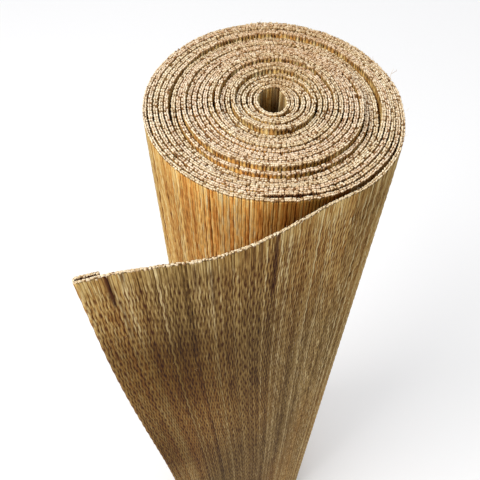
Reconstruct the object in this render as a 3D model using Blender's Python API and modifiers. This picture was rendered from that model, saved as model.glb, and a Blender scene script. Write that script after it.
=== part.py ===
"""A roll of woven straw matting that stands on end, with the last of the mat hanging loose.

One long mat is wound outward from a small open core. Its straws run up the roll. The outer end leaves
the roll at the front right, swings across the front in a slack S and ends in a narrow turned-back hem.
Metres, +Z up, the front toward -Y. The origin lies on the floor under the middle of the whole shape.
"""

import math

import bmesh
import bpy

MAT_WIDTH = 1.2  # across the mat, which is the height of the standing roll
MAT_THICKNESS = 0.0043
TURNS = 22
OUTER_RADIUS = 0.1288  # where the loose end leaves the roll
JOINT_ANGLE = -60.0  # degrees from +X, where the loose end leaves the roll
JOINT_RAMP = 1.0  # degrees over which the outer face drops by one turn
CORE_HALF_X = 0.0145
CORE_HALF_Y = 0.0185

# How far the roll is from a true circle, seen from above.
ROUNDNESS = (
    # degrees from +X, share of the round radius
    (-60.0, 1.0),
    (-35.0, 0.993),
    (0.0, 0.945),
    (33.0, 0.928),
    (60.0, 0.955),
    (90.0, 0.987),
    (180.0, 1.007),
    (270.0, 0.987),
    (300.0, 1.0),
)
ROUNDER_INSIDE = 1.5  # the inner turns are rounder, by this power of their place

# Where the edge of the mat steps from one turn to the next, in mm above or below the nominal width.
TOP_STEPS = (
    # turns from the core, front before and after the step, back before and after it
    (0, -1.0, -1.0, -1.0, -1.0),
    (4, 2.0, 2.3, -4.5, -0.5),
    (5, 3.5, -3.0, -1.5, 3.5),
    (8, -0.5, 0.0, 0.5, 5.0),
    (10, 0.5, -2.5, 3.5, 3.0),
    (14, 2.5, -2.2, -2.0, 0.0),
    (15, -1.8, -7.5, -1.0, -1.0),
    (17, -5.0, -4.7, -2.5, 2.5),
    (20, -2.0, -4.0, 1.0, 1.0),
    (22, 0.0, 0.0, 0.0, 0.0),
)
STEP_SLOPE = 0.0012  # how far a step takes from its lower to its upper edge
RING_SIDES = 64

# The loose end's way from the roll, seen from above.
LOOSE_END = (
    # distance from the joint, degrees that it heads in front of -X
    (0.0, 30.0),
    (0.050, 37.0),
    (0.090, 33.0),
    (0.120, 22.0),
    (0.160, 9.0),
    (0.200, 11.0),
    (0.238, 18.0),
)
LOOSE_STEP = 0.009
LOOSE_INSET = 0.0004  # how far its outer face lies under the roll's where they join
LOOSE_ROOT = 0.004  # how far it reaches into the roll
LOOSE_TOP_DROP = 0.0005
HEM_BEND = 0.0032  # radius of the fold at the middle of the mat's thickness
HEM_BEND_STEPS = 6
HEM_LENGTH = 0.018

# The free edge leans toward the roll on its way down.
LEAN = 0.024
LEAN_FROM = 0.11  # below the top
LEAN_TO = 0.69
LOOSE_ROWS = 12

STRAW_COLOUR = (0.47, 0.30, 0.13, 1.0)
STRAW_ROUGHNESS = 0.72


def smooth(t):
    t = min(max(t, 0.0), 1.0)
    return t * t * (3.0 - 2.0 * t)


def read_table(rows, x):
    """The second column at x, eased from row to row."""
    for (x0, y0), (x1, y1) in zip(rows, rows[1:]):
        if x <= x1:
            return y0 + (y1 - y0) * smooth((x - x0) / (x1 - x0))
    return rows[-1][1]


def wound(angle):
    """How much of a turn lies between the joint and this angle, going inward along the mat."""
    return ((angle - JOINT_ANGLE) % 360.0) / 360.0


def roll_radius(angle, turn):
    """From the core's wall at turn 0 to the outer face at the last turn."""
    c, s = math.cos(math.radians(angle)), math.sin(math.radians(angle))
    core = 1.0 / math.hypot(c / CORE_HALF_X, s / CORE_HALF_Y)
    mean_core = math.sqrt(CORE_HALF_X * CORE_HALF_Y)
    pitch = (OUTER_RADIUS - mean_core) / TURNS
    place = turn / TURNS
    in_table = JOINT_ANGLE + (angle - JOINT_ANGLE) % 360.0
    dent = 1.0 - read_table(ROUNDNESS, in_table)
    outer = (OUTER_RADIUS - pitch * wound(angle)) * (1.0 - dent * place**ROUNDER_INSIDE)
    return core + (outer - core) * place


def ring_angles():
    """Evenly spaced from the joint, with the last one just before it, at the foot of the spiral's step."""
    reach = 360.0 - JOINT_RAMP
    return [JOINT_ANGLE + reach * i / (RING_SIDES - 1) for i in range(RING_SIDES)]


def ring(turn, extra_radius, front, back):
    """One closed loop, at its front height toward -Y and at its back height toward +Y."""
    points = []
    for angle in ring_angles():
        r = roll_radius(angle, turn) + extra_radius
        c, s = math.cos(math.radians(angle)), math.sin(math.radians(angle))
        toward_back = 0.5 + 0.5 * s
        points.append((r * c, r * s, front + (back - front) * toward_back))
    return points


def top_ring(turn, extra_radius, front_mm, back_mm):
    return ring(turn, extra_radius, MAT_WIDTH + front_mm / 1000.0, MAT_WIDTH + back_mm / 1000.0)


def roll_rings():
    """Closed loops around the roll: up its outer face, inward over the top and down the core."""
    rings = [ring(TURNS, 0.0, 0.0, 0.0)]
    for turn, front_in, front_out, back_in, back_out in reversed(TOP_STEPS):
        if turn in (0, TURNS):
            rings.append(top_ring(turn, 0.0, front_in, back_in))
        else:
            rings.append(top_ring(turn, STEP_SLOPE / 2, front_out, back_out))
            rings.append(top_ring(turn, -STEP_SLOPE / 2, front_in, back_in))
    rings.append(ring(0, 0.0, 0.0, 0.0))
    return rings


def make_roll():
    """A ring-shaped loft: each loop joins the next one, and the last joins the first under the roll."""
    bm = bmesh.new()
    loops = [[bm.verts.new(p) for p in points] for points in roll_rings()]
    for lower, upper in zip(loops, loops[1:] + loops[:1]):
        for i in range(RING_SIDES):
            j = (i + 1) % RING_SIDES
            bm.faces.new((lower[i], lower[j], upper[j], upper[i]))
    bmesh.ops.recalc_face_normals(bm, faces=bm.faces)
    return new_object("mat", bm)


def loose_path():
    """Points from inside the roll to the hem's end: (x, y, share of the lean)."""
    length = LOOSE_END[-1][0]
    steps = round(length / LOOSE_STEP)
    step = length / steps
    start = math.radians(JOINT_ANGLE)
    r = OUTER_RADIUS - LOOSE_INSET - MAT_THICKNESS / 2
    x, y = r * math.cos(start), r * math.sin(start)
    heading = math.radians(LOOSE_END[0][1])
    points = [(x + LOOSE_ROOT * math.cos(heading), y + LOOSE_ROOT * math.sin(heading), 0.0), (x, y, 0.0)]
    for i in range(steps):
        heading = math.radians(read_table(LOOSE_END, (i + 0.5) * step))
        x -= step * math.cos(heading)
        y -= step * math.sin(heading)
        points.append((x, y, (i + 1) / steps))
    toward_roll = (-math.sin(heading), math.cos(heading))
    onward = (-math.cos(heading), -math.sin(heading))
    for i in range(1, HEM_BEND_STEPS + 1):
        turned = math.pi * i / HEM_BEND_STEPS
        out = HEM_BEND * math.sin(turned)
        across = HEM_BEND * (1.0 - math.cos(turned))
        points.append(
            (
                x + out * onward[0] + across * toward_roll[0],
                y + out * onward[1] + across * toward_roll[1],
                1.0,
            )
        )
    back_x, back_y, _ = points[-1]
    points.append((back_x - HEM_LENGTH * onward[0], back_y - HEM_LENGTH * onward[1], 1.0))
    return points


def lean_at(z):
    below = MAT_WIDTH - z
    return LEAN * smooth((below - LEAN_FROM) / (LEAN_TO - LEAN_FROM))


def make_loose_end():
    """An upright sheet along the path, thickened evenly to both sides."""
    path = loose_path()
    bm = bmesh.new()
    bmesh.ops.create_grid(bm, x_segments=len(path) - 1, y_segments=LOOSE_ROWS, size=0.5)
    height = MAT_WIDTH - LOOSE_TOP_DROP
    for vert in bm.verts:
        x, y, share = path[round((vert.co.x + 0.5) * (len(path) - 1))]
        z = (vert.co.y + 0.5) * height
        vert.co = (x + share * lean_at(z), y, z)
    loose = new_object("loose_end", bm)
    solidify = loose.modifiers.new("thickness", "SOLIDIFY")
    solidify.thickness = MAT_THICKNESS
    solidify.offset = 0.0
    solidify.use_even_offset = True
    loose.hide_render = True
    loose.display_type = "WIRE"
    return loose


def new_object(name, bm):
    mesh = bpy.data.meshes.new(name)
    bm.to_mesh(mesh)
    bm.free()
    return bpy.data.objects.new(name, mesh)


def straw_material():
    material = bpy.data.materials.new("straw")
    material.use_nodes = True
    shader = material.node_tree.nodes["Principled BSDF"]
    shader.inputs["Base Color"].default_value = STRAW_COLOUR
    shader.inputs["Roughness"].default_value = STRAW_ROUGHNESS
    shader.inputs["Metallic"].default_value = 0.0
    return material


def new_collection(name):
    collection = bpy.data.collections.new(name)
    bpy.context.scene.collection.children.link(collection)
    return collection


def middle_of(points):
    xs = [p[0] for p in points]
    ys = [p[1] for p in points]
    return (min(xs) + max(xs)) / 2, (min(ys) + max(ys)) / 2


def main():
    for old in list(bpy.data.objects):
        bpy.data.objects.remove(old, do_unlink=True)
    parts = new_collection("straw_matting_roll")
    joined = new_collection("joined_pieces")

    roll = make_roll()
    loose = make_loose_end()
    parts.objects.link(roll)
    joined.objects.link(loose)
    union = roll.modifiers.new("loose end", "BOOLEAN")
    union.operation = "UNION"
    union.solver = "EXACT"
    union.object = loose
    roll.data.materials.append(straw_material())

    bpy.context.view_layer.update()
    shape = roll.evaluated_get(bpy.context.evaluated_depsgraph_get())
    middle_x, middle_y = middle_of([v.co for v in shape.data.vertices])
    for piece in (roll, loose):
        piece.location = (-middle_x, -middle_y, 0.0)


main()
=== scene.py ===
"""Looks for the roll of straw matting: every straw of the mat, wound, hanging and cut off at its ends.

The mat is followed along its length, from its inner edge in the core, through its turns and along the
loose end to the hem. Each straw has its place on that length and runs up the roll. Metres, +Z up.
"""
import math

import bpy
import numpy as np
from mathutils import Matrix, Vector


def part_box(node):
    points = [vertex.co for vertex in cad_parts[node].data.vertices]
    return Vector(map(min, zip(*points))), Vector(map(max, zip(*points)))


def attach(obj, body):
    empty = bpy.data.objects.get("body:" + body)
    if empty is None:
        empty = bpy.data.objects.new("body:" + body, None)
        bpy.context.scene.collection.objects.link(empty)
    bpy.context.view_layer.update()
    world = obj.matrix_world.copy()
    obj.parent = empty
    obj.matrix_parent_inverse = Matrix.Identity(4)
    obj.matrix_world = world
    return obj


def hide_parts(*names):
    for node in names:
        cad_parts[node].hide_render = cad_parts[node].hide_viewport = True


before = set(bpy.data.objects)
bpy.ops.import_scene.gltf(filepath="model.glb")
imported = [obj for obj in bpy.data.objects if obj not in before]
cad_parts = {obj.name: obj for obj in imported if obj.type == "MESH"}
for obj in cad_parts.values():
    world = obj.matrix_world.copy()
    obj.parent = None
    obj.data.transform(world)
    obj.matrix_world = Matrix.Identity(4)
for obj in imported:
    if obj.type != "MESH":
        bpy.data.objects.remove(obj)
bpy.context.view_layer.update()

box_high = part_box("mat")[1]

# The roll, as in the solids.
MAT_WIDTH = 1.2
TURNS = 22
OUTER_RADIUS = 0.1288
JOINT_ANGLE = -60.0
CORE_HALF_X = 0.0145
CORE_HALF_Y = 0.0185
ROUNDNESS = (
    # degrees from +X, share of the round radius
    (-60.0, 1.0),
    (-35.0, 0.993),
    (0.0, 0.945),
    (33.0, 0.928),
    (60.0, 0.955),
    (90.0, 0.987),
    (180.0, 1.007),
    (270.0, 0.987),
    (300.0, 1.0),
)
ROUNDER_INSIDE = 1.5
TOP_STEPS = (
    # turns from the core, front before and after the step, back before and after it, in mm
    (0, -1.0, -1.0, -1.0, -1.0),
    (4, 2.0, 2.3, -4.5, -0.5),
    (5, 3.5, -3.0, -1.5, 3.5),
    (8, -0.5, 0.0, 0.5, 5.0),
    (10, 0.5, -2.5, 3.5, 3.0),
    (14, 2.5, -2.2, -2.0, 0.0),
    (15, -1.8, -7.5, -1.0, -1.0),
    (17, -5.0, -4.7, -2.5, 2.5),
    (20, -2.0, -4.0, 1.0, 1.0),
    (22, 0.0, 0.0, 0.0, 0.0),
)
LOOSE_END = (
    # distance from the joint, degrees that it heads in front of -X: a little straighter than in the solids
    (0.0, 30.0),
    (0.050, 34.5),
    (0.090, 31.5),
    (0.120, 21.5),
    (0.160, 9.0),
    (0.200, 11.0),
    (0.2416, 18.0),
)
LOOSE_TOP_DROP = 0.0005
HEM_BEND = 0.002  # the cloth's own fold is tighter than the solid's
HEM_LENGTH = 0.018
CORE_HEM = 0.029  # the hem at the mat's inner edge
LEAN = 0.024
LEAN_FROM = 0.11
LEAN_TO = 0.69

# The mat's inner edge, in the core, is a hem too. Here the winding is closer than in the solids.
START_TURN = 0.667
CORE_EASE = (
    # turn, shift of the mat, in mm
    (0.667, -3.7),
    (0.8, -4.3),
    (0.93, -3.8),
    (1.1, -2.2),
    (1.36, -0.9),
    (1.57, -1.0),
    (3.0, 0.0),
)
SLACK = (
    # between which turns, from degrees, to degrees, mm outward outside it, mm inward inside it
    (17.33, -24.0, 40.0, 1.5, 0.7),
    (16.85, 146.0, 202.0, 0.8, 0.5),
    (13.3, -6.0, 32.0, 0.5, 0.4),
    (12.9, 140.0, 165.0, 0.5, 0.4),
    (8.82, 160.0, 208.0, 0.6, 0.4),
    (5.35, -32.0, 14.0, 0.5, 0.4),
    (20.57, -102.0, -70.0, 0.0, 2.2),
)
SLACK_EASE = 0.6  # share of half such a stretch over which it comes and goes
SLACK_REACH = 2.0  # turns over which it fades
STAND_OFF = (21.895, 0.0036)  # from this turn the mat eases off the roll, as far as this at the joint

# The points of the mat's line on its turns, its loose end, the folds of its hems and the outer hem.
WOUND_POINTS = 9000
LOOSE_STEPS = 600
BEND_POINTS = 41
HEM_POINTS = 41
HALF_DEGREES = 721  # points around one turn
PLACES = 6001  # points for spacing the straws

# The cut edge is uneven. The first row fades out on the loose end.
EDGE_NOISE = (
    # height, length along the mat, seed
    (0.0012, 0.21, 4),
    (0.0004, 0.03, 5),
    (0.0003, 0.009, 6),
)

# The mat's straws.
STRAW_PITCH = 0.0037
WIDTHS = (0.17, 0.6, 1.5)  # spread, narrowest and widest, as shares of the pitch
SPACING = (
    # turn, share of the pitch: the straws that show most are finer
    (0.0, 1.0),
    (20.9, 1.0),
    (21.0, 0.86),
    (21.96, 0.86),
    (22.0, 0.8),
)
HALF_SHEET = 0.00215  # from a wound turn's outer face to its middle line
CREST = 0.00178  # half the mat's thickness at a straw's crest, midway between over and under
VALLEY = 0.00105  # and in the seam between two straws
SEAM_SINK = 0.0005  # a parted seam is deeper by this
EDGE_SINK = 0.0003  # and every seam by this at the cut edge
SEAM_WAVER = 0.00017  # how far a seam wavers to either side
SPLIT_SINK = 0.78  # how deep a straw's two halves part, as a share of its crest
SPLIT_WOVEN = 0.15  # and how much deeper below the cut edge
BESIDE_CREST = 0.35  # how much of the weave's swing the points beside the crests follow
SEAM_SHADE = (0.62, 0.45)  # painted shade of a closed seam, and how much more a parted one has
LOOSE_THIN = 0.54  # the loose end's thickness, as a share of the wound mat's
CORE_THIN = 0.84  # and that of the hem in the core
WEAVE_SWING = 0.00042  # a straw's swing over and under the hidden strips
WEAVE_PERIOD = 0.024
WEAVE_DRIFT = (0.5, 0.047)  # the strips' spacing drifts by these radians, over this depth
WEAVE_FULLNESS = 0.7  # the lower, the sooner a straw is fully over or under
PLAIN_EDGE = (0.004, 0.034)  # below the cut edge the weave grows between these
GRAIN_SPREAD = 0.06  # how far a straw on top spreads over its neighbours, in pitches
GROOVE = 0.009  # between the two faces the mat's edge is open this deep
RIM_SHADE = 1.5  # painted shade: the groove is dark

NOISE_VALUES = 4096
FULL_CIRCLE = 6.28  # for random angles
FRONT, BACK = 1, 3  # columns of TOP_STEPS

rng = np.random.default_rng(41)


def smooth(t):
    t = np.clip(t, 0.0, 1.0)
    return t * t * (3.0 - 2.0 * t)


def read_table(rows, x):
    """The second column at each x, eased from row to row."""
    xs = np.array([row[0] for row in rows])
    ys = np.array([row[1] for row in rows])
    x = np.asarray(x, float)
    i = np.clip(np.searchsorted(xs, x, side="right") - 1, 0, len(xs) - 2)
    return ys[i] + (ys[i + 1] - ys[i]) * smooth((x - xs[i]) / (xs[i + 1] - xs[i]))


def noise(x, seed):
    """Smooth noise from -1 to 1 along x, with one random value at each whole number."""
    values = np.random.default_rng(seed).uniform(-1.0, 1.0, NOISE_VALUES)
    i = np.floor(x).astype(int)
    t = smooth(x - i)
    return values[i % NOISE_VALUES] * (1.0 - t) + values[(i + 1) % NOISE_VALUES] * t


def patches(x, y, seed, waves=7):
    """Smooth two-way noise, about -1 to 1, from a few crossing waves of random direction."""
    draw = np.random.default_rng(seed)
    total = 0.0
    for _ in range(waves):
        kx, ky = draw.normal(0.0, 1.0, 2)
        total = total + np.sin(kx * x + ky * y + draw.uniform(0.0, FULL_CIRCLE))
    return total / math.sqrt(waves)


# The mat's line seen from above

def roll_radius(angle, turn):
    """The outer face of the mat at this angle and turn, as in the solids."""
    c, s = np.cos(np.radians(angle)), np.sin(np.radians(angle))
    core = 1.0 / np.hypot(c / CORE_HALF_X, s / CORE_HALF_Y)
    place = turn / TURNS
    in_table = JOINT_ANGLE + (angle - JOINT_ANGLE) % 360.0
    dent = 1.0 - read_table(ROUNDNESS, in_table)
    outer = OUTER_RADIUS * (1.0 - dent * place**ROUNDER_INSIDE)
    return core + (outer - core) * place


def axis_place():
    """Where the roll's axis stands, from the node's box and the roll's widest places."""
    turn = np.linspace(TURNS - 1.0, TURNS, HALF_DEGREES)
    angle = np.radians(JOINT_ANGLE + 360.0 * (TURNS - turn))
    r = roll_radius(np.degrees(angle), turn)
    return box_high.x - (r * np.cos(angle)).max(), box_high.y - (r * np.sin(angle)).max()


AXIS_X, AXIS_Y = axis_place()


def slackness(angle, turn):
    """How far the mat lies outward of an even winding, where turns have sprung apart."""
    shift = read_table(CORE_EASE, turn) / 1000.0
    for between, start, stop, outward, inward in SLACK:
        middle, half = (start + stop) / 2, (stop - start) / 2
        turned = (angle - middle + 180.0) % 360.0 - 180.0
        near = smooth((half - np.abs(turned)) / (SLACK_EASE * half))
        fade = np.exp(-(np.abs(turn - between) - 0.5) / SLACK_REACH)
        shift = shift + near * fade * np.where(turn > between, outward, -inward) / 1000.0
    return shift + STAND_OFF[1] * smooth((turn - STAND_OFF[0]) / (TURNS - STAND_OFF[0]))


def wound_line():
    """The wound mat's middle line, after a hem that is turned to its outer side."""
    turn = np.linspace(START_TURN, TURNS, WOUND_POINTS)
    angle = JOINT_ANGLE + 360.0 * (TURNS - turn)
    r = roll_radius(angle, turn) - HALF_SHEET + slackness(angle, turn)
    a = np.radians(angle)
    line = np.stack([r * np.cos(a), r * np.sin(a)], axis=-1)
    along = np.diff(line, axis=0)
    along = along / np.linalg.norm(along, axis=1)[:, None]
    outward = np.stack([-along[:, 1], along[:, 0]], axis=-1)
    step = np.linalg.norm(line[1] - line[0])
    hem = slice(int(CORE_HEM / step), 0, -1)
    turned = np.linspace(math.pi, 0.0, BEND_POINTS)[:-1, None]
    centre = line[0] + HEM_BEND * outward[0]
    bend = centre - HEM_BEND * (outward[0] * np.cos(turned) + along[0] * np.sin(turned))
    line = np.concatenate([line[hem] + 2.0 * HEM_BEND * outward[hem], bend, line])
    turn = np.concatenate([np.full(len(line) - len(turn), START_TURN), turn])
    return line[:, 0], line[:, 1], turn


def loose_line(x, y):
    """From the roll's last point: the slack S, the fold of the hem and the hem."""
    step = LOOSE_END[-1][0] / LOOSE_STEPS
    heading = np.radians(read_table(LOOSE_END, (np.arange(LOOSE_STEPS) + 0.5) * step))
    xs = x - np.cumsum(np.cos(heading)) * step
    ys = y - np.cumsum(np.sin(heading)) * step
    end = heading[-1]
    toward_roll = np.array([-math.sin(end), math.cos(end)])
    onward = np.array([-math.cos(end), -math.sin(end)])
    turned = np.linspace(0.0, math.pi, BEND_POINTS)[1:]
    tip = np.array([xs[-1], ys[-1]])
    bend = tip + np.outer(np.sin(turned), onward) * HEM_BEND
    bend = bend + np.outer(1.0 - np.cos(turned), toward_roll) * HEM_BEND
    back = bend[-1] - np.outer(np.linspace(0.0, HEM_LENGTH, HEM_POINTS)[1:], onward)
    return (
        np.concatenate([xs, bend[:, 0], back[:, 0]]),
        np.concatenate([ys, bend[:, 1], back[:, 1]]),
        np.concatenate([np.arange(1, LOOSE_STEPS + 1) / LOOSE_STEPS, np.ones(BEND_POINTS + HEM_POINTS - 2)]),
    )


wound_x, wound_y, wound_turn = wound_line()
loose_x, loose_y, loose_share = loose_line(wound_x[-1], wound_y[-1])
LINE_X = np.concatenate([wound_x, loose_x])
LINE_Y = np.concatenate([wound_y, loose_y])
LINE_TURN = np.concatenate([wound_turn, np.full(len(loose_x), float(TURNS))])
LINE_SHARE = np.concatenate([np.zeros(len(wound_x)), loose_share])
LINE_S = np.concatenate([[0.0], np.cumsum(np.hypot(np.diff(LINE_X), np.diff(LINE_Y)))])
LINE_TX = np.gradient(LINE_X, LINE_S)
LINE_TY = np.gradient(LINE_Y, LINE_S)
JOINT_S = LINE_S[len(wound_x) - 1]
FREE_S = JOINT_S + LOOSE_END[-1][0]
END_S = LINE_S[-1]


def on_loose(s):
    """From 0 on the wound mat to 1 on the loose end."""
    return smooth((s - JOINT_S + 0.03) / 0.04)


def turn_at(s):
    return np.interp(s, LINE_S, LINE_TURN)


def s_at_turn(turn):
    return float(np.interp(turn, wound_turn, LINE_S[: len(wound_turn)]))


def step_height(turn, column):
    """How far the mat's edge stands above MAT_WIDTH at the FRONT or BACK, between the steps."""
    place = np.clip(turn - 0.5, 0.0, TURNS - 0.001)
    rows = np.array(TOP_STEPS)
    i = np.clip(np.searchsorted(rows[:, 0], place, side="right") - 1, 0, len(rows) - 2)
    t = (place - rows[i, 0]) / (rows[i + 1, 0] - rows[i, 0])
    after, before = rows[i, column + 1], rows[i + 1, column]
    return (after + (before - after) * t) / 1000.0


def edge_offset(s):
    """How far the cut edge stands above MAT_WIDTH.

    It eases between its heights at the front and the back, which lie half a turn apart.
    """
    turn = turn_at(s)
    front_at = (90.0 + JOINT_ANGLE) / 360.0
    half_turns = (turn - front_at) * 2.0
    i = np.floor(half_turns)
    t = smooth(half_turns - i)

    def knot(k):
        at = k / 2.0 + front_at
        return np.where(k % 2 == 0, step_height(at, FRONT), step_height(at, BACK))

    wound = knot(i) * (1.0 - t) + knot(i + 1) * t
    loose = smooth((s - JOINT_S + 0.05) / 0.1)
    slow, medium, fine = (height * noise(s / length, seed) for height, length, seed in EDGE_NOISE)
    even = wound * (1.0 - loose) - LOOSE_TOP_DROP * loose
    return even + slow * (1.0 - loose) + (medium + fine)


def thickness(s):
    """The mat's share of its full thickness: less on the loose end and in the hem in the core."""
    inner = 1.0 - smooth((s - CORE_HEM - 0.03) / 0.05)
    return 1.0 - np.maximum((1.0 - LOOSE_THIN) * on_loose(s), (1.0 - CORE_THIN) * inner)


def lean_at(z):
    return LEAN * smooth((MAT_WIDTH - z - LEAN_FROM) / (LEAN_TO - LEAN_FROM))


def on_mat(s, z, off):
    """World points at s along the mat and height z, off to its outer side."""
    x = np.interp(s, LINE_S, LINE_X)
    y = np.interp(s, LINE_S, LINE_Y)
    tx = np.interp(s, LINE_S, LINE_TX)
    ty = np.interp(s, LINE_S, LINE_TY)
    scale = np.hypot(tx, ty)
    share = np.interp(s, LINE_S, LINE_SHARE)
    px = x - ty / scale * off + share * lean_at(z) + AXIS_X
    py = y + tx / scale * off + AXIS_Y
    return np.stack(np.broadcast_arrays(px, py, z), axis=-1)


# The straws, one after another along the mat

def straw_places():
    """The places where one straw meets the next."""
    s = np.linspace(0.0, END_S, PLACES)
    counted = np.cumsum(s[1] / (STRAW_PITCH * read_table(SPACING, turn_at(s))))
    counted = counted - counted[0]
    spread, narrowest, widest = WIDTHS
    widths = np.clip(rng.normal(1.0, spread, int(counted[-1]) + 1), narrowest, widest)
    edges = np.concatenate([[0.0], np.cumsum(widths)])
    return np.interp(edges * (counted[-1] / edges[-1]), counted, s)


EDGES = straw_places()
COUNT = len(EDGES) - 1
MIDDLES = (EDGES[1:] + EDGES[:-1]) / 2
SIDE = np.cumprod(np.where(rng.random(COUNT) < 0.12, -1.0, 1.0))  # which half of the straw is over first
TONE = np.clip(rng.normal(0.5, 0.13, COUNT), 0.3, 0.74)
PHASE = 1.1 * noise(MIDDLES / 0.022, 11) + rng.normal(0.0, 0.45, COUNT)
TALL = rng.normal(0.0, 0.0002, COUNT)
WAVE_SEED = rng.uniform(0.0, 900.0, COUNT)
FAT = rng.normal(1.0, 0.07, COUNT)
SEAM = rng.normal(0.0, 1.0, COUNT)
SPLIT = rng.uniform(0.35, 1.0, COUNT)  # how clearly a straw's two halves part
HALVES = rng.normal(0.0, 0.1, (COUNT, 2))

# From 0 to 1 before the joint
LAST_STRETCH = smooth((MIDDLES - JOINT_S + 0.2) / 0.04)
# How strongly each straw's weave shows: least where the mat is wound tight, most on the loose end
LIVELY = 0.58 + 0.27 * LAST_STRETCH + 0.15 * smooth((MIDDLES - JOINT_S + 0.02) / 0.04)


def weave(j, below):
    """From -1, under, to 1, over, for straw j's first half. The second half goes the other way."""
    drift = WEAVE_DRIFT[0] * np.sin(below / WEAVE_DRIFT[1])
    c = np.cos(2.0 * math.pi * below / WEAVE_PERIOD + drift + PHASE[j])
    start, end = PLAIN_EDGE
    inward = smooth((below - start) / (end - start)) * smooth((MAT_WIDTH - below - start) / (end - start))
    return SIDE[j] * np.sign(c) * np.abs(c) ** WEAVE_FULLNESS * inward * LIVELY[j]


def meeting_place(j, below):
    """Where straw j - 1 meets straw j: it moves toward the half that is under, and wavers a little."""
    left = np.clip(j - 1, 0, COUNT - 1)
    right = np.clip(j, 0, COUNT - 1)
    push = -GRAIN_SPREAD * STRAW_PITCH * (weave(left, below) + weave(right, below)) / 2
    waver = SEAM_WAVER * noise(below / 0.023 + WAVE_SEED[right], 21)
    ends = smooth(np.minimum(EDGES[j], END_S - EDGES[j]) / 0.002)
    return EDGES[j] + (push + waver) * ends


def seam_depth(j, below):
    """From 0, where straw j - 1 and straw j lie close, to 1, where they part and leave a dark line."""
    right = np.clip(j, 0, COUNT - 1)
    opened = 0.5 + 0.75 * noise(below / 0.016 + 1.7 * WAVE_SEED[right], 22)
    return np.clip(opened + 0.35 * SEAM[right], 0.0, 1.0)


def row_levels(parts):
    """Depths below the cut edge. Each part is (depth that it ends at, row spacing)."""
    levels, depth = [0.0], 0.0
    for end, spacing in parts:
        rows = max(1, round((end - depth) / spacing))
        levels += list(depth + (end - depth) * np.arange(1, rows + 1) / rows)
        depth = end
    return np.array(levels)


def crown_at(jj, uu, dd, columns):
    """From 0 in the seams to 1 on a straw's crests. With four columns there is a dip between its halves."""
    if columns == 2:
        return np.sin(math.pi * uu) ** 0.5
    woven_in = smooth((dd - PLAIN_EDGE[0]) / (PLAIN_EDGE[1] - PLAIN_EDGE[0]))
    parted = SPLIT[jj] * (0.3 + 0.7 * noise(dd / 0.019 + 2.3 * WAVE_SEED[jj], 23) ** 2)
    dip = 1.0 - SPLIT_WOVEN * woven_in - SPLIT_SINK * np.sqrt(parted)
    crown = np.where(np.abs(uu - 0.5) < 0.1, dip, 0.96)
    return np.where((uu == 0.0) | (uu == 1.0), 0.0, crown)


def turned_in(j, s, z, off, shade, first, last):
    """The grid with rims: at the cut edges and the mat's own ends it turns in to the mat's middle."""

    def widen(a, top, low):
        return np.concatenate([top, a, low], axis=1)

    s = widen(s, s[:, :1], s[:, -1:])
    z = widen(z, z[:, :1] - GROOVE, z[:, -1:] + GROOVE)
    off = widen(off, 0.0 * off[:, :1], 0.0 * off[:, -1:])
    shade = widen(shade, 0.0 * shade[:, :1] + RIM_SHADE, 0.0 * shade[:, -1:] + RIM_SHADE)
    if first == 0:
        j, s, z, shade = (np.concatenate([a[:1], a]) for a in (j, s, z, shade))
        off = np.concatenate([0.0 * off[:1], off])
    if last == COUNT:
        j, s, z, shade = (np.concatenate([a, a[-1:]]) for a in (j, s, z, shade))
        off = np.concatenate([off, 0.0 * off[:1]])
    return j, s, z, off, shade


def face_grid(first, last, columns, below, side):
    """One face of the mat for straws first to last, as a grid of points with what its material reads."""
    j = np.append(np.repeat(np.arange(first, last), columns), last - 1)
    u = np.append(np.tile(np.arange(columns) / columns, last - first), 1.0)
    jj, uu, dd = j[:, None], u[:, None], below[None, :]
    start, stop = meeting_place(jj, dd), meeting_place(jj + 1, dd)
    first_over = weave(jj, dd)
    centre = 0.5 + GRAIN_SPREAD * first_over
    bent = np.where(uu < 0.5, uu * 2.0 * centre, 1.0 - (1.0 - uu) * 2.0 * (1.0 - centre))
    s = start + (stop - start) * (bent if columns > 2 else uu)
    over = first_over * np.where(uu < 0.5, 1.0, -1.0) if columns > 2 else 0.5 * first_over
    seam = seam_depth(jj, dd) * (1.0 - uu) + seam_depth(jj + 1, dd) * uu
    crown = crown_at(jj, uu, dd, columns)
    on_crest = np.where(np.abs(np.abs(uu - 0.5) - 0.25) < 0.2, 1.0, BESIDE_CREST)
    valley = VALLEY - SEAM_SINK * seam - EDGE_SINK * (1.0 - smooth(dd / 0.012))
    crest = CREST * FAT[jj] + side * WEAVE_SWING * over * on_crest
    off = side * thickness(s) * (valley + (crest - valley) * crown)
    fade = smooth(1.0 - dd / 0.06)
    sunk = STEM_RISE + (LOOSE_RISE - STEM_RISE) * on_loose(s)
    z = MAT_WIDTH - dd + (edge_offset(s) + TALL[jj] * crown - sunk) * fade
    z = np.clip(z, 0.0, None)
    # Painted shade: the seams and the grains that dip under the hidden strips are darkened in the material.
    under = (0.5 - 0.5 * side * over) * np.abs(over) * on_crest
    shade = (1.0 - crown) * (SEAM_SHADE[0] + SEAM_SHADE[1] * seam) + under
    j, s, z, off, shade = turned_in(j, s, z, off, shade, first, last)
    return {
        "points": on_mat(s, z, off),
        "place": np.stack([s, z, np.full_like(s, side)], axis=-1),
        "shade": shade,
        "straw": j,
        "below": np.concatenate([[GROOVE], below, [MAT_WIDTH - GROOVE]]),
        "side": side,
    }


# The straws' tones. A grain is the stretch of a straw's half between two hidden strips.
GRAIN_TONES = 0.07  # how far the tones of one straw's grains spread
BRIGHT_SHARE = 0.075  # this share of the grains near the joint is brighter
BRIGHT_LIFT = 0.34
CORE_PAINTED_LIGHT = 0.34  # painted light: the face in the core is brighter than the face outside
MIXERS = (7919, 104729)  # primes that give each grain a random value of its own


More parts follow.
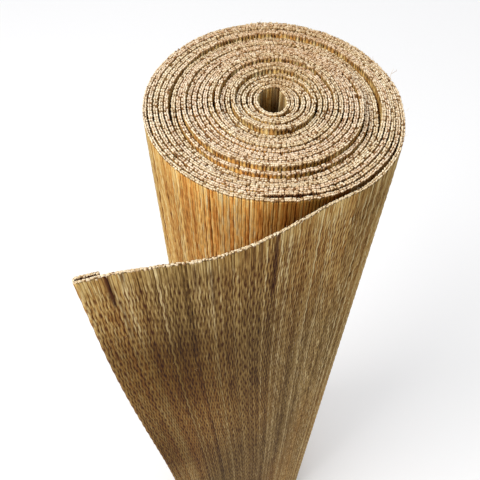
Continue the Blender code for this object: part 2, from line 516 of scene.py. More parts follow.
def straw_tones(grid):
    """A tone for each face of a grid: one for the straw, a little different for each of its grains."""
    j = grid["straw"][:-1]
    column = np.arange(len(j)) % 4 // 2
    middle = (grid["below"][1:] + grid["below"][:-1]) / 2
    grain = np.floor(2.0 * middle / WEAVE_PERIOD + column[:, None]).astype(int)
    mixed = (j[:, None] * MIXERS[0] + grain * MIXERS[1]) % NOISE_VALUES
    shift = np.random.default_rng(8).normal(0.0, GRAIN_TONES, NOISE_VALUES)[mixed]
    bright = BRIGHT_LIFT * (np.random.default_rng(9).random(NOISE_VALUES) < BRIGHT_SHARE)[mixed]
    near_joint = LAST_STRETCH[j] * smooth((JOINT_S + 0.14 - MIDDLES[j]) / 0.08)
    shift = shift + bright * (near_joint * (grid["side"] > 0))[:, None]
    drift = 0.1 * noise(middle[None, :] / 0.16 + WAVE_SEED[j][:, None], 31)
    # Painted light on the face inside the core.
    core_light = np.where((grid["side"] < 0) & (MIDDLES[j] < 0.13), CORE_PAINTED_LIGHT, 0.0)
    return (TONE[j] + core_light)[:, None] + shift + drift + HALVES[j, column][:, None]


# Marks that the loose end's face shows, from the free end and the top
STAINS = (
    # distance from the free end, width, from this depth, to this depth, strength
    (0.0215, 0.0040, 0.000, 0.058, 1.0),
    (0.0265, 0.0026, 0.045, 0.120, 0.5),
    (0.0335, 0.0030, 0.000, 0.026, 0.85),
    (0.0886, 0.0030, 0.008, 0.056, 0.6),
    (0.1020, 0.0030, 0.018, 0.085, 0.55),
    (0.1310, 0.0026, 0.002, 0.026, 0.6),
    (0.1450, 0.0030, 0.002, 0.034, 0.65),
    (0.1605, 0.0028, 0.000, 0.105, 0.95),
)
GAP_TURN = 20.07  # where the outer turn stands off, the face inside the gap gets painted shade


def stains_and_painted_shade(s, below, side):
    """From 0 to 1: red-brown marks, painted shade inside a gap, in a pocket and in the slit of the hem, and
    dark in parts of the core.
    """
    total = np.zeros(np.broadcast(s, below).shape)
    if side > 0:
        for at, width, start, end, strength in STAINS:
            near = 1.0 - smooth(np.abs(FREE_S - at - s) / width)
            along = smooth((below - start) / 0.008 + 1.0) * smooth((end - below) / 0.02)
            total = np.maximum(total, near * along * strength)
        # Painted shade in the gap where the outer turn stands off, and in a pocket.
        gap = smooth((0.05 - np.abs(turn_at(s) - GAP_TURN)) / 0.03) * (s < JOINT_S)
        pocket = smooth((turn_at(s) - 20.84) / 0.04) * smooth((21.05 - turn_at(s)) / 0.04)
        total = np.maximum(total, np.maximum(0.9 * gap, 0.5 * pocket))
    elif np.max(s) > FREE_S:
        # Painted shade in the slit between the hem's two layers.
        total = total + 0.95 * smooth((s - FREE_S + HEM_LENGTH) / 0.003)
    elif np.min(s) < 0.2:
        total = total + 0.7 * smooth(2.2 * noise(s / 0.0052, 53) - 0.7) * (1.0 - smooth((s - 0.18) / 0.02))
    return total


WALL_WARM_AND_BOUNCE = (
    # share of a turn inward from the joint, how orange; from 0.84 on, behind the loose end, this is painted
    # warm bounce light as well as the straws' own gold
    (0.0, 0.12),
    (0.08, 0.15),
    (0.15, 0.5),
    (0.35, 0.3),
    (0.6, 0.25),
    (0.68, 0.04),
    (0.76, 0.42),
    (0.84, 0.98),
    (1.0, 0.98),
)


def warmth(s, below, side, turn):
    """0 where the straws are olive, 1 where they are orange-gold; on the wall behind the loose end part of
    the orange is painted warm bounce light.
    """
    if side < 0:
        wound = 0.36 + 0.16 * noise(s / 0.05, 51)
        loose = 0.55 + 0.0 * s
    else:
        around = (TURNS - turn) % 1.0
        # Painted warm bounce light on the wall behind the loose end, with the straws' own gold.
        wall = read_table(WALL_WARM_AND_BOUNCE, around)
        inside = 0.72 + 0.25 * noise(s / 0.07, 52)
        outer = smooth((turn - (TURNS - 1.06)) / 0.05)
        wound = inside * (1.0 - outer) + wall * outer
        loose = 0.12 + 0.22 * smooth((s - FREE_S + 0.08) / 0.06)
    loosened = smooth((s - JOINT_S) / 0.05)
    base = wound * (1.0 - loosened) + loose * loosened
    cloudy = 0.13 * patches(s / 0.045, below / 0.11, 61)
    return base + cloudy


WALL_BROWN_AND_SHADOW = (
    # share of a turn inward from the joint, how brown; from 0.93 on, where the loose end leaves the wall, it
    # is painted shadow in the wedge between them
    (0.0, 0.3),
    (0.6, 0.22),
    (0.7, 0.06),
    (0.79, 0.0),
    (0.885, 0.04),
    (0.93, 0.7),
    (0.97, 1.0),
    (1.0, 1.0),
)


def brown_and_painted_shade(s, below, side):
    """From 0 to 1: painted shade low on the loose end and deep in the core, brown on the wall with painted
    shadow where the loose end leaves it, and brown in soft patches.
    """
    if side < 0:
        # Painted shade: the core's face darkens deeper in the hole.
        deep_core = smooth((below - 0.012) / 0.035) * (1.0 - smooth((s - 0.18) / 0.02))
        return 0.12 * deep_core
    from_free = FREE_S - s
    left = smooth((0.19 - from_free) / 0.14)
    # Painted shade: the loose end darkens lower down, most toward its free end.
    low = smooth((below - 0.03) / 0.12) * (0.42 + 0.58 * left) * smooth((s - JOINT_S) / 0.02)
    soft = 0.5 + 0.5 * patches(s / 0.03, below / 0.09, 62)
    around = (TURNS - turn_at(s)) % 1.0
    paler_low = 1.0 - 0.4 * smooth((below - 0.04) / 0.1)
    # Painted shadow where the loose end leaves the wall.
    wall = read_table(WALL_BROWN_AND_SHADOW, around) * (s < JOINT_S) * paler_low
    return np.clip(0.64 * low + 0.2 * low * soft + 0.1 * soft + wall, 0.0, 1.0)


# Meshes from arrays

def mesh_object(name, points, faces, material, point_values, face_values, places, bake):
    """faces is a list of index arrays, one for each face size. Values are written as attributes."""
    mesh = bpy.data.meshes.new(name)
    mesh.vertices.add(len(points))
    mesh.vertices.foreach_set("co", np.asarray(points, np.float32).ravel())
    corners = np.concatenate([f.ravel() for f in faces])
    sizes = np.concatenate([np.full(len(f), f.shape[1]) for f in faces])
    mesh.loops.add(len(corners))
    mesh.loops.foreach_set("vertex_index", corners.astype(np.int32))
    mesh.polygons.add(len(sizes))
    mesh.polygons.foreach_set("loop_start", (np.cumsum(sizes) - sizes).astype(np.int32))
    mesh.polygons.foreach_set("use_smooth", np.ones(len(sizes), bool))
    mesh.update(calc_edges=True)
    for domain, values in (("POINT", point_values), ("FACE", face_values)):
        for key, data in values.items():
            written = mesh.attributes.new(key, "FLOAT", domain)
            written.data.foreach_set("value", np.asarray(data, np.float32).ravel())
    written = mesh.attributes.new("place", "FLOAT_VECTOR", "POINT")
    written.data.foreach_set("vector", np.asarray(places, np.float32).ravel())
    layer = mesh.uv_layers.new(name="OFBake")
    layer.uv.foreach_set("vector", np.asarray(bake[corners], np.float32).ravel())
    mesh.materials.append(material)
    piece = bpy.data.objects.new(name, mesh)
    bpy.context.scene.collection.objects.link(piece)
    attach(piece, "root")
    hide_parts("mat")
    return piece


def grid_values(grid):
    s = grid["place"][..., 0]
    below = grid["below"][None, :]
    side = grid["side"]
    return {
        "shade": grid["shade"],
        "warm": warmth(s, below, side, turn_at(s)),
        "brown": brown_and_painted_shade(s, below, side),
        "stain_and_shade": stains_and_painted_shade(s, below, side),
    }


def grid_faces(wide, tall, flip):
    """Quads of a grid whose points run down each column."""
    a = (np.arange(wide - 1)[:, None] * tall + np.arange(tall - 1)[None, :]).ravel()
    quads = np.stack([a, a + 1, a + tall + 1, a + tall], axis=1)
    return quads[:, ::-1] if flip else quads


def cloth(name, first, last, faces, material):
    """A stretch of the mat, straws first to last. faces has (columns for each straw, depths, side)."""
    parts = [face_grid(first, last, columns, below, side) for columns, below, side in faces]
    points, quads, places, bakes, tones, values = [], [], [], [], [], []
    for i, grid in enumerate(parts):
        wide, tall = grid["shade"].shape
        quads.append(grid_faces(wide, tall, grid["side"] < 0) + sum(len(p) for p in points))
        points.append(grid["points"].reshape(-1, 3))
        places.append(grid["place"].reshape(-1, 3))
        across = np.linspace(0.0, 1.0, wide)[:, None]
        up = (i + np.linspace(1.0, 0.0, tall)[None, :]) / len(parts)
        bakes.append(np.stack(np.broadcast_arrays(across, up), axis=-1).reshape(-1, 2))
        tones.append(straw_tones(grid).ravel())
        values.append(grid_values(grid))
    piece = mesh_object(
        name,
        np.concatenate(points),
        [np.concatenate(quads)],
        material,
        {key: np.concatenate([v[key].ravel() for v in values]) for key in values[0]},
        {"tone": np.concatenate(tones)},
        np.concatenate(places),
        np.concatenate(bakes),
    )
    return piece


# The cut ends of the straws

STEM_SIDES = 5
STEM_POINTS = 2 * STEM_SIDES + 1
TOP_STEMS = (
    # place along the mat in pitches, place across it in mm, size
    (-0.18, 1.05, 1.0),
    (0.18, 0.99, 1.0),
    (-0.18, -1.0, 1.0),
    (0.18, -1.04, 1.0),
)
LOW_STEMS = (
    (0.0, 0.0, 1.7),
)
STEM_RADIUS = 0.00099
STEM_RISE = 0.0009  # the straws' ends stand this far out of the woven faces' own edge
LOOSE_RISE = 0.0003  # and on the loose end this far
STEM_ROOT = 0.0045  # a stem's length
ZIGZAG = 0.00012  # neighbouring straws lie a little toward opposite faces
BROKEN_SHARE = 0.05  # this share of the stems is broken off
BROKEN_DROP = 0.0016  # lower by this
STEM_WIDE = 1.32  # a stem is wider along the mat than across it
CORE_WIDE = 0.25  # and more so by this near the core
RIM_SHARE = 0.88  # a stem's rim, as a share of its full width
FOOT_SHARE = 0.4  # its foot lies nearer to the mat's middle
HOLLOW_DEPTH = 0.0006
END_MARGIN = 0.0008

# How much the stems vary, in metres where no other unit is given
VARY_ALONG = 0.035  # in straw widths
VARY_ACROSS = 0.00007
VARY_RADIUS = 0.1  # as a share
VARY_RISE = 0.0001
VARY_LEAN = 0.00012
VARY_SLOPE = 0.12  # rise over width
VARY_RIM = 0.00006
VARY_OUTLINE = 0.1  # as a share of the radius

# The stems' tones
STEM_TONE = (0.81, 0.08)  # mean and spread from straw to straw
STEM_SPREAD = 0.09  # within one straw
DARK_STEMS = (0.1, 0.12)  # share of the stems, tone
STEM_WALL = (0.52, 0.35)  # the walls' share of the tone, and how much more on the loose end
# Painted shade on the stems: deep at the foot, slight at the rim, and in the hollow of some.
STEM_FOOT_SHADE = 1.1
STEM_RIM_SHADE = 0.06
HOLLOW_SHADE = (0.25, 0.5, 1.0)  # share of the stems with painted shade in the hollow, least and most


def stem_places(draw, first, last, table):
    """Each stem's straw, its places along and across the mat, and its radius."""
    j = np.repeat(np.arange(first, last), len(table))
    rows = np.tile(np.array(table), (last - first, 1))
    n = len(j)
    flip = np.where(draw.random(last - first) < 0.5, -1.0, 1.0).repeat(len(table))
    width = EDGES[j + 1] - EDGES[j]
    s = MIDDLES[j] + width * (rows[:, 0] + draw.normal(0.0, VARY_ALONG, n))
    s = np.clip(s, END_MARGIN, END_S - END_MARGIN)
    zigzag = ZIGZAG * np.where(j % 2 == 0, 1.0, -1.0)
    across = thickness(s) * (flip * rows[:, 1] / 1000.0 + draw.normal(0.0, VARY_ACROSS, n) + zigzag)
    radius = STEM_RADIUS * rows[:, 2] * np.clip(draw.normal(1.0, VARY_RADIUS, n), 0.7, 1.25)
    return j, s, across, radius * np.sqrt(width / STRAW_PITCH)


def stem_points(draw, j, s, across, radius, low):
    """For each stem a ring at its foot, a ragged rim and a point in its hollow, and its rim's angles."""
    n = len(j)
    thin = thickness(s)
    calm = np.clip(3.0 * thin - 2.0, 0.4, 1.0)
    rise = calm * (draw.normal(0.0, VARY_RISE, n) + TALL[j])
    rise = np.where(draw.random(n) < BROKEN_SHARE * calm, rise - BROKEN_DROP, rise)
    if low:
        tip = np.abs(rise)
        foot = tip + STEM_ROOT
        upward = -1.0
    else:
        tip = MAT_WIDTH + edge_offset(s) + rise
        foot = tip - STEM_ROOT
        upward = 1.0
    spin = draw.uniform(0.0, FULL_CIRCLE, n)[:, None]
    turned = np.linspace(0.0, 2.0 * math.pi, STEM_SIDES, endpoint=False)[None, :] + spin
    ragged = 1.0 + draw.normal(0.0, VARY_OUTLINE, (n, STEM_SIDES))
    in_core = smooth((s - 0.012) / 0.006) * smooth((CORE_HEM + 0.065 - s) / 0.006)
    along = np.cos(turned) * ((STEM_WIDE + CORE_WIDE * in_core) * radius)[:, None] * ragged
    out = np.sin(turned) * (radius * thin)[:, None] * ragged
    lean_s = draw.normal(0.0, VARY_LEAN, n)[:, None]
    lean_out = draw.normal(0.0, VARY_LEAN, n)[:, None]
    slope = VARY_SLOPE * draw.normal(0.0, 1.0, n)[:, None]
    uneven = draw.normal(0.0, VARY_RIM, (n, STEM_SIDES))
    rim = np.clip(tip[:, None] + slope * out + uneven, 0.0, None)
    hollow = draw.uniform(0.0, HOLLOW_DEPTH, n)[:, None] * upward
    middle_s, middle_off = s[:, None] + lean_s, across[:, None] + lean_out
    rings = [
        on_mat(s[:, None] + along, foot[:, None] + 0.0 * along, FOOT_SHARE * (across[:, None] + out)),
        on_mat(middle_s + RIM_SHARE * along, rim, middle_off + RIM_SHARE * out),
        on_mat(middle_s, tip[:, None] - hollow, middle_off),
    ]
    return np.concatenate(rings, axis=1), turned


def stem_faces(n, low):
    """The stems' walls, as quads, and their ends, as triangles around the point in the hollow."""
    base = (np.arange(n) * STEM_POINTS)[:, None]
    k = np.arange(STEM_SIDES)[None, :]
    k2 = (k + 1) % STEM_SIDES
    walls = np.stack([base + k2, base + k, base + k + STEM_SIDES, base + k2 + STEM_SIDES], axis=-1)
    centre = base + 2 * STEM_SIDES + 0 * k
    caps = np.stack([base + k + STEM_SIDES, centre, base + k2 + STEM_SIDES], axis=-1)
    walls, caps = walls.reshape(-1, 4), caps.reshape(-1, 3)
    return (walls, caps) if low else (walls[:, ::-1], caps[:, ::-1])


def stem_tones(draw, s, per_straw):
    """A tone for each stem, much the same within a straw: paler at the sides of the roll than behind."""
    n = len(s)
    angle = np.radians(JOINT_ANGLE - 360.0 * turn_at(s))
    leftward, backward = np.clip([-np.cos(angle), np.sin(angle)], 0.0, 1.0)
    spot = 0.12 * np.cos(angle) ** 2 + 0.1 * leftward - 0.16 * backward
    bundle = draw.normal(*STEM_TONE, n // per_straw).repeat(per_straw) + spot
    dark_share, dark_tone = DARK_STEMS
    tone = np.where(draw.random(n) < dark_share, dark_tone, bundle + draw.normal(0.0, STEM_SPREAD, n))
    return np.clip(tone, 0.0, 1.0)


def straw_ends(name, first, last, table, material, seed, low=False):
    """Short cut stems at the mat's top edge, or its low edge, each with a hollow in its end."""
    draw = np.random.default_rng(seed)
    j, s, across, radius = stem_places(draw, first, last, table)
    points, turned = stem_points(draw, j, s, across, radius, low)
    n = len(s)
    tone = stem_tones(draw, s, len(table))
    wall_tone = (STEM_WALL[0] + STEM_WALL[1] * on_loose(s)) * tone
    # Painted shade: dark at each stem's foot, slightly at its rim, and in some hollows.
    dark = np.zeros((n, STEM_POINTS))
    dark[:, :STEM_SIDES] = STEM_FOOT_SHADE
    dark[:, STEM_SIDES:-1] = STEM_RIM_SHADE
    hollow_share, least, most = HOLLOW_SHADE
    dark[:, -1] = np.where(draw.random(n) < hollow_share, draw.uniform(least, most, n), 0.0)
    side = math.ceil(math.sqrt(n))
    cell = np.stack([np.arange(n) % side, np.arange(n) // side], axis=-1)[:, None, :] + 0.5
    ring = np.stack([np.cos(turned), np.sin(turned)], axis=-1)
    bake = np.concatenate([cell + 0.45 * ring, cell + 0.3 * ring, cell], axis=1) / side
    warm = np.clip(0.5 + 0.5 * patches(s / 0.06, 0.0 * s, 71), 0.0, 1.0)
    return mesh_object(
        name,
        points.reshape(-1, 3),
        stem_faces(n, low),
        material,
        {"hollow": dark, "warm": np.repeat(warm, STEM_POINTS)},
        {"tone": np.repeat(np.concatenate([wall_tone, tone]), STEM_SIDES)},
        points.reshape(-1, 3),
        bake.reshape(-1, 2),
    )


# Loose fibres and whiskers

WHISKER_RADIUS = 0.0002
EDGE_FIBRE_RADIUS = 0.00011
FACE_FIBRE_RADIUS = 0.00012
EDGE_FIBRES = (420, 150)  # anywhere on the cut edge, and on its outer turn and loose end
FACE_FIBRES = 420
FREE_FIBRES = 46  # on the fold of the hem
FIBRE_SIDES = 3
FIBRE_POINTS = 3 * FIBRE_SIDES
WHISKERS = (
    # degrees from +X at the outer turn, then in mm: depth below the edge, and the tip's way along, up and out
    (16.0, 1.0, -1.5, 11.0, 2.0),
    (16.0, -5.0, 2.5, 6.5, 2.5),
    (-6.0, 1.0, 1.5, 4.5, 4.0),
    (31.0, 1.0, -3.0, 3.0, 2.0),
    (96.0, 0.5, 3.5, 3.5, 1.0),
    (-22.0, 1.0, 1.0, 3.5, 2.5),
)


def fibre_table(draw):
    """Where each fibre starts (s, z, off) and how far its tip goes (along, up, out), and its radius."""
    rows = []
    for angle, depth, along, up, out in WHISKERS:
        s = s_at_turn(TURNS - ((angle - JOINT_ANGLE) % 360.0) / 360.0)
        z = MAT_WIDTH + float(edge_offset(s)) - depth / 1000.0
        rows.append((s, z, 0.0018, along / 1000.0, up / 1000.0, out / 1000.0, WHISKER_RADIUS))
    anywhere = draw.uniform(0.0, END_S, EDGE_FIBRES[0])
    outside = draw.uniform(s_at_turn(21.0), END_S, EDGE_FIBRES[1])
    for s in np.concatenate([anywhere, outside]):
        off = draw.normal(0.0, 0.0012) * float(thickness(s))
        along, out = draw.normal(0.0, 0.0017, 2)
        up = abs(draw.normal(0.0, 0.0014)) + 0.0004
        z = MAT_WIDTH + float(edge_offset(s)) - 0.0005
        rows.append((s, z, off, along, up, out, EDGE_FIBRE_RADIUS))
    for s in draw.uniform(s_at_turn(TURNS - 1.0), FREE_S, FACE_FIBRES):
        z = MAT_WIDTH - (0.01 + 1.16 * draw.random() ** 1.4)
        along, up = draw.normal(0.0, 0.0016), draw.normal(0.0, 0.0034)
        off = 0.0019 * float(thickness(s))
        rows.append((s, z, off, along, up, draw.uniform(0.0003, 0.0022), FACE_FIBRE_RADIUS))
    for depth in draw.uniform(0.004, 0.8, FREE_FIBRES):
        s = FREE_S + draw.uniform(0.0, 0.004)
        along, up = draw.normal(0.0, 0.0015), draw.normal(0.0, 0.002)
        rows.append((s, MAT_WIDTH - depth, 0.0, along, up, 0.0032, FACE_FIBRE_RADIUS))
    return np.array(rows)


def make_fibres(name, material, seed):
    """Thin three-sided fibres, bent a little, each narrowing to its tip."""
    draw = np.random.default_rng(seed)
    s, z, off, along, up, out, radius = fibre_table(draw).T
    n = len(s)
    bow = draw.normal(0.0, 0.25, (2, n)) * np.hypot(np.hypot(along, up), out)
    corners = np.array([(1.0, 0.0, 0.0), (-0.5, 0.8, 0.3), (-0.5, -0.3, 0.8)])
    rings = []
    for t, width in ((0.0, 1.0), (0.5, 0.85), (1.0, 0.3)):
        bent = 4.0 * t * (1.0 - t)
        middle = on_mat(s + along * t + bow[0] * bent, z + up * t, off + out * t + bow[1] * bent)
        rings.append(middle[:, None, :] + corners[None, :, :] * (radius * width)[:, None, None])
    points = np.concatenate(rings, axis=1)
    points[..., 2] = np.maximum(points[..., 2], 0.0)
    base = (np.arange(n) * FIBRE_POINTS)[:, None, None]
    ring = np.array([0, FIBRE_SIDES])[None, :, None]
    k = np.arange(FIBRE_SIDES)[None, None, :]
    a, b = base + ring + k, base + ring + (k + 1) % FIBRE_SIDES
    quads = np.stack([a, b, b + FIBRE_SIDES, a + FIBRE_SIDES], axis=-1).reshape(-1, 4)
    ends = (base + 2 * FIBRE_SIDES + k).reshape(-1, FIBRE_SIDES)
    tone = np.clip(draw.normal(0.0, 0.15, n) + np.where(z < MAT_WIDTH - 0.009, 0.3, 0.65), 0.0, 1.0)
    side = math.ceil(math.sqrt(n))
    cell = np.stack([np.arange(n) % side, np.arange(n) // side], axis=-1)[:, None, :]
    local = np.array([(x, y) for y in (0.1, 0.5, 0.9) for x in (0.1, 0.5, 0.9)])[None]
    return mesh_object(
        name,
        points.reshape(-1, 3),
        [quads, ends],
        material,
        {"hollow": np.zeros(FIBRE_POINTS * n), "warm": np.full(FIBRE_POINTS * n, 0.3)},
        {"tone": np.concatenate([np.repeat(tone, 2 * FIBRE_SIDES), tone])},
        points.reshape(-1, 3),
        ((cell + local) / side).reshape(-1, 2),
    )


# Materials

OLIVE = (
    # tone, colour
    (0.0, (0.10, 0.047, 0.010)),
    (0.3, (0.29, 0.178, 0.052)),
    (0.6, (0.50, 0.345, 0.126)),
    (1.0, (0.82, 0.66, 0.34)),
)
GOLD = (
    (0.0, (0.34, 0.13, 0.022)),
    (0.3, (0.90, 0.40, 0.084)),
    (0.6, (1.0, 0.63, 0.185)),
    (1.0, (1.0, 0.84, 0.45)),
)
CREAM = (
    (0.0, (0.15, 0.07, 0.02)),
    (0.3, (0.42, 0.25, 0.10)),
    (0.65, (0.76, 0.59, 0.345)),
    (1.0, (0.95, 0.83, 0.60)),
)
PINKISH = (
    (0.0, (0.18, 0.07, 0.022)),
    (0.3, (0.47, 0.26, 0.11)),
    (0.65, (0.76, 0.55, 0.34)),
    (1.0, (0.95, 0.81, 0.62)),
)
# For the red-brown marks, and for the painted shade in the gap, the pocket and the hem.
RED_BROWN = (0.075, 0.018, 0.004)
# These darken the straw's own colour: brown patches with painted shade, painted shade in the seams, and
# painted shade at the stems' feet and in their hollows.
BROWN_AND_SHADE_COLOUR = (0.29, 0.225, 0.115)
SEAM_SHADE_COLOUR = (0.17, 0.07, 0.03)
STEM_SHADE_COLOUR = (0.30, 0.15, 0.055)
FIBRE_CELLS = (2600.0, 90.0, 4.0)  # for each metre along the mat and up the straws, and detail
STREAK_CELLS = (900.0, 55.0, 3.0)


def node(tree, kind, **inputs):
    made = tree.nodes.new(kind)
    for key, value in inputs.items():
        socket = made.inputs[key.replace("_", " ")]
        if isinstance(value, bpy.types.NodeSocket):
            tree.links.new(value, socket)
        else:
            socket.default_value = value
    return made


def ramp(tree, fac, stops):
    made = tree.nodes.new("ShaderNodeValToRGB")
    elements = made.color_ramp.elements
    while len(elements) < len(stops):
        elements.new(0.5)
    for element, (position, colour) in zip(elements, stops):
        element.position = position
        element.color = (*colour, 1.0)
    tree.links.new(fac, made.inputs["Fac"])
    return made.outputs["Color"]


def mix(tree, fac, a, b, blend="MIX"):
    made = tree.nodes.new("ShaderNodeMix")
    made.data_type = "RGBA"
    made.blend_type = blend
    for socket, value in zip([made.inputs[0], made.inputs[6], made.inputs[7]], [fac, a, b]):
        if isinstance(value, bpy.types.NodeSocket):
            tree.links.new(value, socket)
        elif socket.type == "RGBA":
            socket.default_value = (*value, 1.0)
        else:
            socket.default_value = value
    return made.outputs[2]


def maths(tree, operation, a, b=0.0, clamp=False):
    made = tree.nodes.new("ShaderNodeMath")
    made.operation = operation
    made.use_clamp = clamp
    for socket, value in zip(made.inputs, [a, b]):
        if isinstance(value, bpy.types.NodeSocket):
            tree.links.new(value, socket)
        else:
            socket.default_value = value
    return made.outputs[0]


def swung(tree, noise_value, amount):
    """A noise value as a shift to either side of 0."""
    return maths(tree, "MULTIPLY", maths(tree, "SUBTRACT", noise_value, 0.5), amount)


def attribute(tree, name, output="Fac"):
    made = tree.nodes.new("ShaderNodeAttribute")
    made.attribute_name = name
    return made.outputs[output]


def stretched_noise(tree, place, along, up, detail):
    """Noise whose cells are long up the straws. along and up are cells for each metre."""
    scaled = node(tree, "ShaderNodeMapping", Vector=place, Scale=(along, up, 1.0))
    made = node(tree, "ShaderNodeTexNoise", Vector=scaled.outputs[0], Scale=1.0, Detail=detail)
    return made.outputs["Fac"]


def new_material(name):
    material = bpy.data.materials.new(name)
    material.use_nodes = True
    tree = material.node_tree
    return material, tree, tree.nodes["Principled BSDF"]


def face_material():
    """Woven straw: a tone for each straw, olive to orange-gold, fine fibres, painted shade in the seams and
    on grains that dip under, red-brown marks.
    """
    material, tree, shader = new_material("woven_straw")
    place = attribute(tree, "place", "Vector")
    warm = maths(tree, "ADD", attribute(tree, "warm"), 0.0, clamp=True)
    fibres = stretched_noise(tree, place, *FIBRE_CELLS)
    streaks = stretched_noise(tree, place, *STREAK_CELLS)
    toned = maths(tree, "ADD", attribute(tree, "tone"), swung(tree, streaks, 1.25))
    toned = maths(tree, "ADD", toned, swung(tree, fibres, 0.5))
    olive, gold = ramp(tree, toned, OLIVE), ramp(tree, toned, GOLD)
    colour = mix(tree, warm, olive, gold)
    # Brown patches and painted shade, as the brown attribute gives.
    brown_and_shade_mix = mix(tree, 1.0, colour, BROWN_AND_SHADE_COLOUR, "MULTIPLY")
    colour = mix(tree, attribute(tree, "brown"), colour, brown_and_shade_mix)
    colour = mix(tree, attribute(tree, "stain_and_shade"), colour, RED_BROWN)
    # Painted shade in the seams and on the grains that dip under.
    seam = maths(tree, "POWER", attribute(tree, "shade"), 1.15, clamp=True)
    deep = mix(tree, 1.0, colour, SEAM_SHADE_COLOUR, "MULTIPLY")
    colour = mix(tree, maths(tree, "MULTIPLY", seam, 0.97), colour, deep)
    tree.links.new(colour, shader.inputs["Base Color"])
    rough = node(tree, "ShaderNodeMapRange", Value=fibres, **{"To Min": 0.6, "To Max": 0.85})
    tree.links.new(rough.outputs[0], shader.inputs["Roughness"])
    shader.inputs["Specular IOR Level"].default_value = 0.07
    bump = node(tree, "ShaderNodeBump", Height=fibres, Strength=0.35, Distance=0.0006)
    fine = bump.outputs[0]
    coarse = node(tree, "ShaderNodeBump", Height=streaks, Strength=0.4, Distance=0.0008, Normal=fine)
    tree.links.new(coarse.outputs[0], shader.inputs["Normal"])
    return material


def end_material():
    """Cut straw ends: cream and tan, pinkish or greenish in patches, with painted shade at the feet and in
    the hollows.
    """
    material, tree, shader = new_material("cut_straw")
    place = attribute(tree, "place", "Vector")
    grain = node(tree, "ShaderNodeTexNoise", Vector=place, Scale=1400.0, Detail=3.0).outputs["Fac"]
    toned = maths(tree, "ADD", attribute(tree, "tone"), swung(tree, grain, 0.5))
    cream, pinkish = ramp(tree, toned, CREAM), ramp(tree, toned, PINKISH)
    colour = mix(tree, attribute(tree, "warm"), cream, pinkish)
    # Painted shade at the stems' feet and in their hollows.
    dark = maths(tree, "MULTIPLY", attribute(tree, "hollow"), 0.85, clamp=True)
    colour = mix(tree, dark, colour, mix(tree, 1.0, colour, STEM_SHADE_COLOUR, "MULTIPLY"))
    tree.links.new(colour, shader.inputs["Base Color"])
    shader.inputs["Roughness"].default_value = 0.8
    shader.inputs["Specular IOR Level"].default_value = 0.2
    bump = node(tree, "ShaderNodeBump", Height=grain, Strength=0.4, Distance=0.0004)
    tree.links.new(bump.outputs[0], shader.inputs["Normal"])
    return material


# Pieces

woven = face_material()
cut = end_material()

FINE = row_levels([(0.45, 0.0039), (1.2, 0.0075)])
MEDIUM = row_levels([(0.45, 0.006), (1.2, 0.0085)])
CORE = row_levels([(0.15, 0.004), (1.2, 0.03)])
HIDDEN = row_levels([(0.012, 0.012), (0.04, 0.028), (1.17, 1.13), (1.2, 0.03)])


def straw_at(s):
    return int(np.searchsorted(EDGES, s)) - 1


# The first straws of the pieces. The loose end's pieces begin a little before the joint.
first_turn = straw_at(s_at_turn(2.0))
middle = straw_at(s_at_turn(14.0))
outer_start = straw_at(s_at_turn(TURNS - 1.04))
outer_left = straw_at(s_at_turn(TURNS - 0.62))
outer_back = straw_at(s_at_turn(TURNS - 0.2))
joint = straw_at(JOINT_S - 0.012)

ends_core = straw_ends("ends_core", 0, middle, TOP_STEMS, cut, 101)
ends_outer = straw_ends("ends_outer", middle, COUNT, TOP_STEMS, cut, 102)
low_ends = straw_ends("low_ends", 0, COUNT, LOW_STEMS, cut, 103, low=True)
fibres = make_fibres("fibres", cut, 104)
BOTH_HIDDEN = [(2, HIDDEN, 1.0), (2, HIDDEN, -1.0)]
cloth("core_turn", 0, first_turn, [(2, HIDDEN, 1.0), (4, CORE, -1.0)], woven)
cloth("inner_turns", first_turn, middle, BOTH_HIDDEN, woven)
cloth("middle_turns", middle, outer_start, BOTH_HIDDEN, woven)
cloth("outer_turn_inside", outer_start, joint, [(2, HIDDEN, -1.0)], woven)
cloth("wall_left", outer_start, outer_left, [(4, FINE, 1.0)], woven)
cloth("wall_back", outer_left, outer_back, [(4, MEDIUM, 1.0)], woven)
cloth("wall_right", outer_back, joint, [(4, FINE, 1.0)], woven)
cloth("loose_front", joint, COUNT, [(4, FINE, 1.0)], woven)
cloth("loose_back", joint, COUNT, [(2, MEDIUM, -1.0)], woven)

# Camera, light and floor

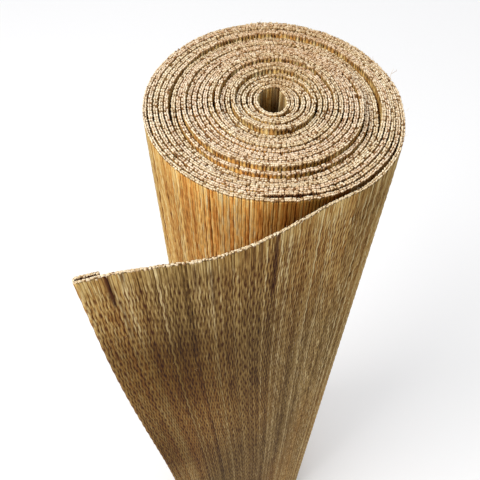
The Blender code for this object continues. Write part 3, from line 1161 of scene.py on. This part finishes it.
RADIUS = 0.125  # of the roll
CAMERA_PLACE = (-0.26584, -3.42506, 2.92763)  # in radii, from the middle of the rim
LENS = 43.18
PITCH = 54.2057  # degrees that the camera looks down
LAMP_COLOUR = (1.0, 0.98, 0.955)
WORLD_COLOUR = (0.99, 0.995, 1.01, 1.0)
FLOOR_COLOUR = (0.92, 0.92, 0.92, 1.0)
FLOOR_SIZE = 14.0
FLOOR_DROP = 0.0005  # so that it doesn't touch the straws' ends


def add_camera():
    data = bpy.data.cameras.new("camera")
    data.lens = LENS
    data.sensor_width = 36.0
    data.clip_start = 0.01
    camera = bpy.data.objects.new("camera", data)
    rim_middle = (AXIS_X, AXIS_Y, MAT_WIDTH)
    camera.location = [m + RADIUS * p for m, p in zip(rim_middle, CAMERA_PLACE)]
    camera.rotation_euler = (math.radians(90.0 - PITCH), 0.0, 0.0)
    bpy.context.scene.collection.objects.link(camera)
    bpy.context.scene.camera = camera


def add_light(name, place, aim, size, watts, colour):
    data = bpy.data.lights.new(name, "AREA")
    data.shape = "SQUARE"
    data.size = size
    data.energy = watts
    data.color = colour
    lamp = bpy.data.objects.new(name, data)
    lamp.location = place
    lamp.rotation_euler = (Vector(place) - Vector(aim)).to_track_quat("Z", "Y").to_euler()
    bpy.context.scene.collection.objects.link(lamp)


def add_floor():
    bpy.ops.mesh.primitive_plane_add(size=FLOOR_SIZE, location=(0.0, 0.0, -FLOOR_DROP))
    floor = bpy.context.object
    floor.name = "floor"
    material, _, shader = new_material("pale_floor")
    shader.inputs["Base Color"].default_value = FLOOR_COLOUR
    shader.inputs["Roughness"].default_value = 0.9
    floor.data.materials.append(material)


def add_world():
    world = bpy.data.worlds.new("studio")
    world.use_nodes = True
    background = world.node_tree.nodes["Background"]
    background.inputs["Color"].default_value = WORLD_COLOUR
    background.inputs["Strength"].default_value = 0.9
    bpy.context.scene.world = world


add_camera()
add_light("above", place=(-1.5, -0.75, 2.8), aim=(0.0, 0.0, 1.0), size=1.3, watts=50.0, colour=LAMP_COLOUR)
add_floor()
add_world()
bpy.context.scene.view_settings.view_transform = "Standard"
